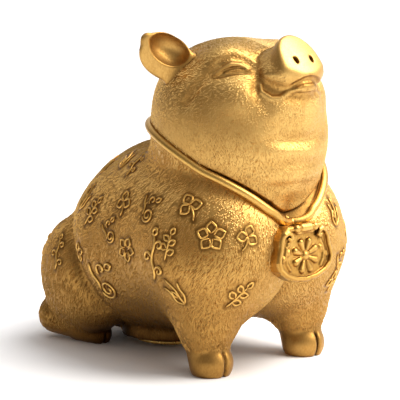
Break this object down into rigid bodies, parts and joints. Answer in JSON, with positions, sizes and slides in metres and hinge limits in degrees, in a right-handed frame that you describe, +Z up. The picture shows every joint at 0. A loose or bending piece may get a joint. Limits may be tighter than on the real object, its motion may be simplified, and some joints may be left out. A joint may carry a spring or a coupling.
{
  "type": "still bank",
  "caption": "Seated pig coin bank cast in brass, with a coin slot along the back, a pendant on a neck cord and a screw plug in the belly.",
  "frame": {"origin": "on the ground under the middle of the bank's bounding box", "axes": "+Z up, -Y is the way the pig faces, +X is the pig's left"},
  "size_m": [0.1116, 0.1796, 0.1691],
  "materials": {
    "brass": "satin cast brass with a brown patina in the hollows",
    "leather": "oiled leather washer"
  },
  "bodies": {
    "bank": {"body_casting": "brass", "head_casting": "brass", "left_ear": "brass", "right_ear": "brass", "tail": "brass", "neck_cord": "brass", "pendant": "brass", "pendant_pin_left": "brass", "pendant_pin_right": "brass", "neck_pin_1": "brass", "neck_pin_2": "brass", "neck_pin_3": "brass", "left_ear_pin": "brass", "right_ear_pin": "brass", "tail_pin": "brass", "plug_collar": "brass"},
    "washer": {"plug_washer": "leather"},
    "plug": {"plug": "brass"}
  },
  "joints": [
    {"name": "plug_slide", "type": "slide", "parent": "bank", "child": "washer", "axis": [0, 0, -1], "range_m": [0, 0.0093]},
    {"name": "plug_turn", "type": "hinge", "parent": "washer", "child": "plug", "pos_m": [0, 0.01249, 0.0028], "axis": [0, 0, -1], "range_deg": [0, 2233]}
  ],
  "couplings": [
    {"joint": "plug_turn", "follows": "plug_slide", "rad_per_m": 4188.8}
  ]
}
